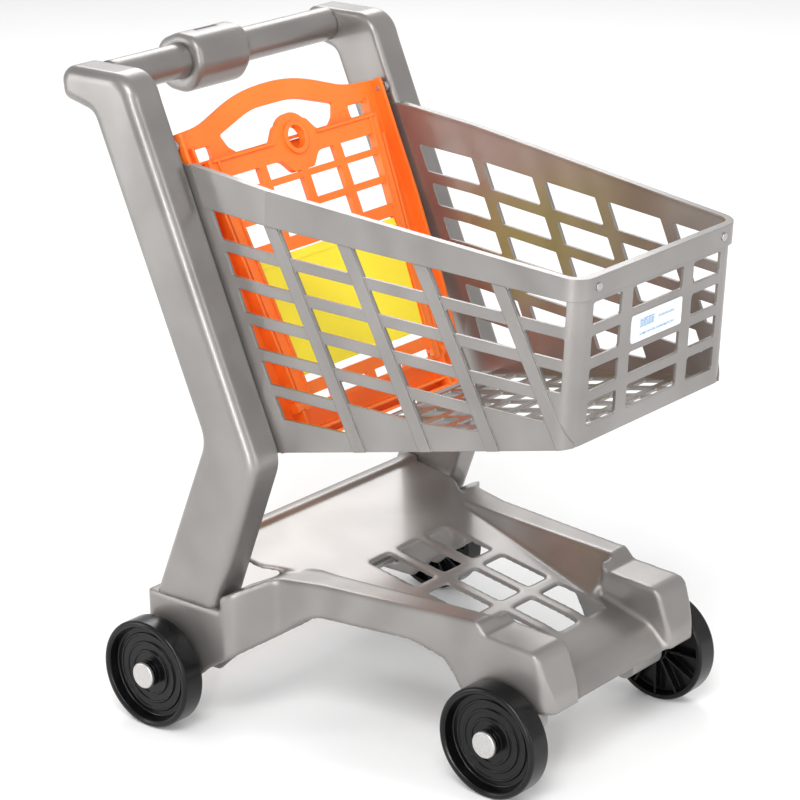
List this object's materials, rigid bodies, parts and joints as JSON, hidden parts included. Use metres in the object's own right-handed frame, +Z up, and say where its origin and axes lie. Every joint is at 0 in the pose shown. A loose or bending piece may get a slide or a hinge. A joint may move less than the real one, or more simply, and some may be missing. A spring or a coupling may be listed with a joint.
{
  "type": "shopping cart",
  "caption": "Child's toy shopping cart of moulded plastic: open slatted basket on leaning uprights, swinging rear gate with doll seat, low tray and rolling wheels.",
  "frame": {"origin": "middle of the footprint box, on the ground", "axes": "+X towards the nose of the cart, +Y to its left, +Z up"},
  "size_m": [0.4598, 0.3858, 0.5308],
  "materials": {
    "silver_plastic": "soft gloss, pearlescent",
    "grey_plastic": "satin",
    "black_plastic": "gloss",
    "cap_metal": "brushed",
    "steel": "plain",
    "white_label": "gloss",
    "orange_plastic": "soft gloss",
    "yellow_plastic": "soft gloss"
  },
  "bodies": {
    "frame": {"base_tray": "silver_plastic", "handle_bar": "silver_plastic", "grip_block": "silver_plastic", "basket": "silver_plastic", "basket_rim": "silver_plastic", "upright_left": "silver_plastic", "upright_right": "silver_plastic", "gate_pin_left": "steel", "front_axle_mount_left": "grey_plastic", "cap_rear_left": "cap_metal", "cap_front_left": "cap_metal", "rim_screw_left": "steel", "basket_screws_left": "steel", "gate_pin_right": "steel", "front_axle_mount_right": "grey_plastic", "cap_rear_right": "cap_metal", "cap_front_right": "cap_metal", "rim_screw_right": "steel", "basket_screws_right": "steel", "axle_rear": "steel", "axle_front": "steel", "label_plate": "white_label"},
    "gate": {"rear_gate": "orange_plastic", "seat_pin_left": "steel", "seat_pin_right": "steel"},
    "seat": {"seat_back": "orange_plastic", "flap_pin": "steel"},
    "flap": {"seat_flap": "yellow_plastic"},
    "wheel_rear_left_body": {"wheel_rear_left": "black_plastic"},
    "wheel_rear_right_body": {"wheel_rear_right": "black_plastic"},
    "wheel_front_left_body": {"wheel_front_left": "black_plastic"},
    "wheel_front_right_body": {"wheel_front_right": "black_plastic"}
  },
  "joints": [
    {"name": "rear_left_wheel_spin", "type": "hinge", "parent": "frame", "child": "wheel_rear_left_body", "pos_m": [-0.1333, 0, 0.045], "axis": [0, 1, 0], "continuous": true},
    {"name": "rear_right_wheel_spin", "type": "hinge", "parent": "frame", "child": "wheel_rear_right_body", "pos_m": [-0.1333, 0, 0.045], "axis": [0, 1, 0], "continuous": true},
    {"name": "front_left_wheel_spin", "type": "hinge", "parent": "frame", "child": "wheel_front_left_body", "pos_m": [0.1577, 0, 0.045], "axis": [0, 1, 0], "continuous": true},
    {"name": "front_right_wheel_spin", "type": "hinge", "parent": "frame", "child": "wheel_front_right_body", "pos_m": [0.1577, 0, 0.045], "axis": [0, 1, 0], "continuous": true},
    {"name": "gate_hinge", "type": "hinge", "parent": "frame", "child": "gate", "pos_m": [-0.1398, 0, 0.464], "axis": [0, -1, 0], "range_deg": [0, 28]},
    {"name": "seat_hinge", "type": "hinge", "parent": "gate", "child": "seat", "pos_m": [-0.05153, 0, 0.26029], "axis": [0, 1, 0], "range_deg": [0, 50]},
    {"name": "flap_hinge", "type": "hinge", "parent": "seat", "child": "flap", "pos_m": [-0.09451, 0, 0.36263], "axis": [0, 1, 0], "range_deg": [0, 62]}
  ]
}
